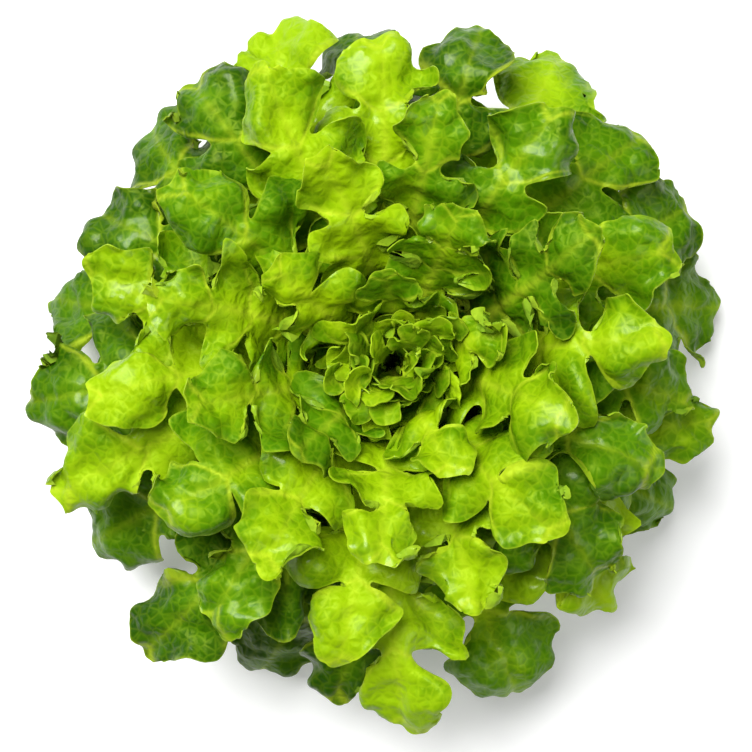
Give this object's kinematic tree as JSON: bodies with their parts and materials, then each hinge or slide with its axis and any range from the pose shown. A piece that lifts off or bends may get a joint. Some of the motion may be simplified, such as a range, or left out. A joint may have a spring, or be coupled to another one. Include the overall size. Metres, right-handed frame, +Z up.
{
  "type": "oak leaf lettuce",
  "caption": "Whole head of green oak leaf lettuce: a dense rosette of lobed, ruffled leaves on a short stem with a flat cut face, round a frilly heart.",
  "frame": {"origin": "centre of the stem's flat cut face, where the head stands", "axes": "+Z up along the stem to the heart; +X and +Y across the head, as seen from above"},
  "size_m": [0.2867, 0.2916, 0.1317],
  "materials": {
    "stem": "pale, moist cut stalk",
    "outer_leaf": "deep green leaf, waxy and soft-glossy, translucent",
    "middle_leaf": "bright yellow-green leaf, waxy and soft-glossy, translucent",
    "inner_leaf": "young yellow-green leaf, soft-glossy, translucent",
    "heart_leaf": "small crisp heart leaves, soft-glossy, translucent"
  },
  "bodies": {
    "root": {"stem": "stem", "heart": "heart_leaf", "outer_leaf_01": "outer_leaf", "outer_leaf_02": "outer_leaf", "outer_leaf_03": "outer_leaf", "outer_leaf_04": "outer_leaf", "outer_leaf_05": "outer_leaf", "outer_leaf_06": "outer_leaf", "outer_leaf_07": "outer_leaf", "outer_leaf_08": "outer_leaf", "outer_leaf_09": "outer_leaf", "outer_leaf_10": "outer_leaf", "outer_leaf_11": "outer_leaf", "outer_leaf_12": "outer_leaf", "outer_leaf_13": "outer_leaf", "outer_leaf_14": "outer_leaf", "outer_leaf_15": "outer_leaf", "outer_leaf_16": "outer_leaf", "outer_leaf_17": "outer_leaf", "outer_leaf_18": "outer_leaf", "outer_leaf_19": "outer_leaf", "outer_leaf_20": "outer_leaf", "outer_leaf_21": "outer_leaf", "outer_leaf_22": "outer_leaf", "middle_leaf_01": "middle_leaf", "middle_leaf_02": "middle_leaf", "middle_leaf_03": "middle_leaf", "middle_leaf_04": "middle_leaf", "middle_leaf_05": "middle_leaf", "middle_leaf_06": "middle_leaf", "middle_leaf_07": "middle_leaf", "middle_leaf_08": "middle_leaf", "middle_leaf_09": "middle_leaf", "middle_leaf_10": "middle_leaf", "middle_leaf_11": "middle_leaf", "middle_leaf_12": "middle_leaf", "middle_leaf_13": "middle_leaf", "middle_leaf_14": "middle_leaf", "middle_leaf_15": "middle_leaf", "middle_leaf_16": "middle_leaf", "middle_leaf_17": "middle_leaf", "middle_leaf_18": "middle_leaf", "middle_leaf_19": "middle_leaf", "middle_leaf_20": "middle_leaf", "middle_leaf_21": "middle_leaf", "middle_leaf_22": "middle_leaf", "middle_leaf_23": "middle_leaf", "middle_leaf_24": "middle_leaf", "inner_leaf_01": "inner_leaf", "inner_leaf_02": "inner_leaf", "inner_leaf_03": "inner_leaf", "inner_leaf_04": "inner_leaf", "inner_leaf_05": "inner_leaf", "inner_leaf_06": "inner_leaf"}
  },
  "joints": []
}
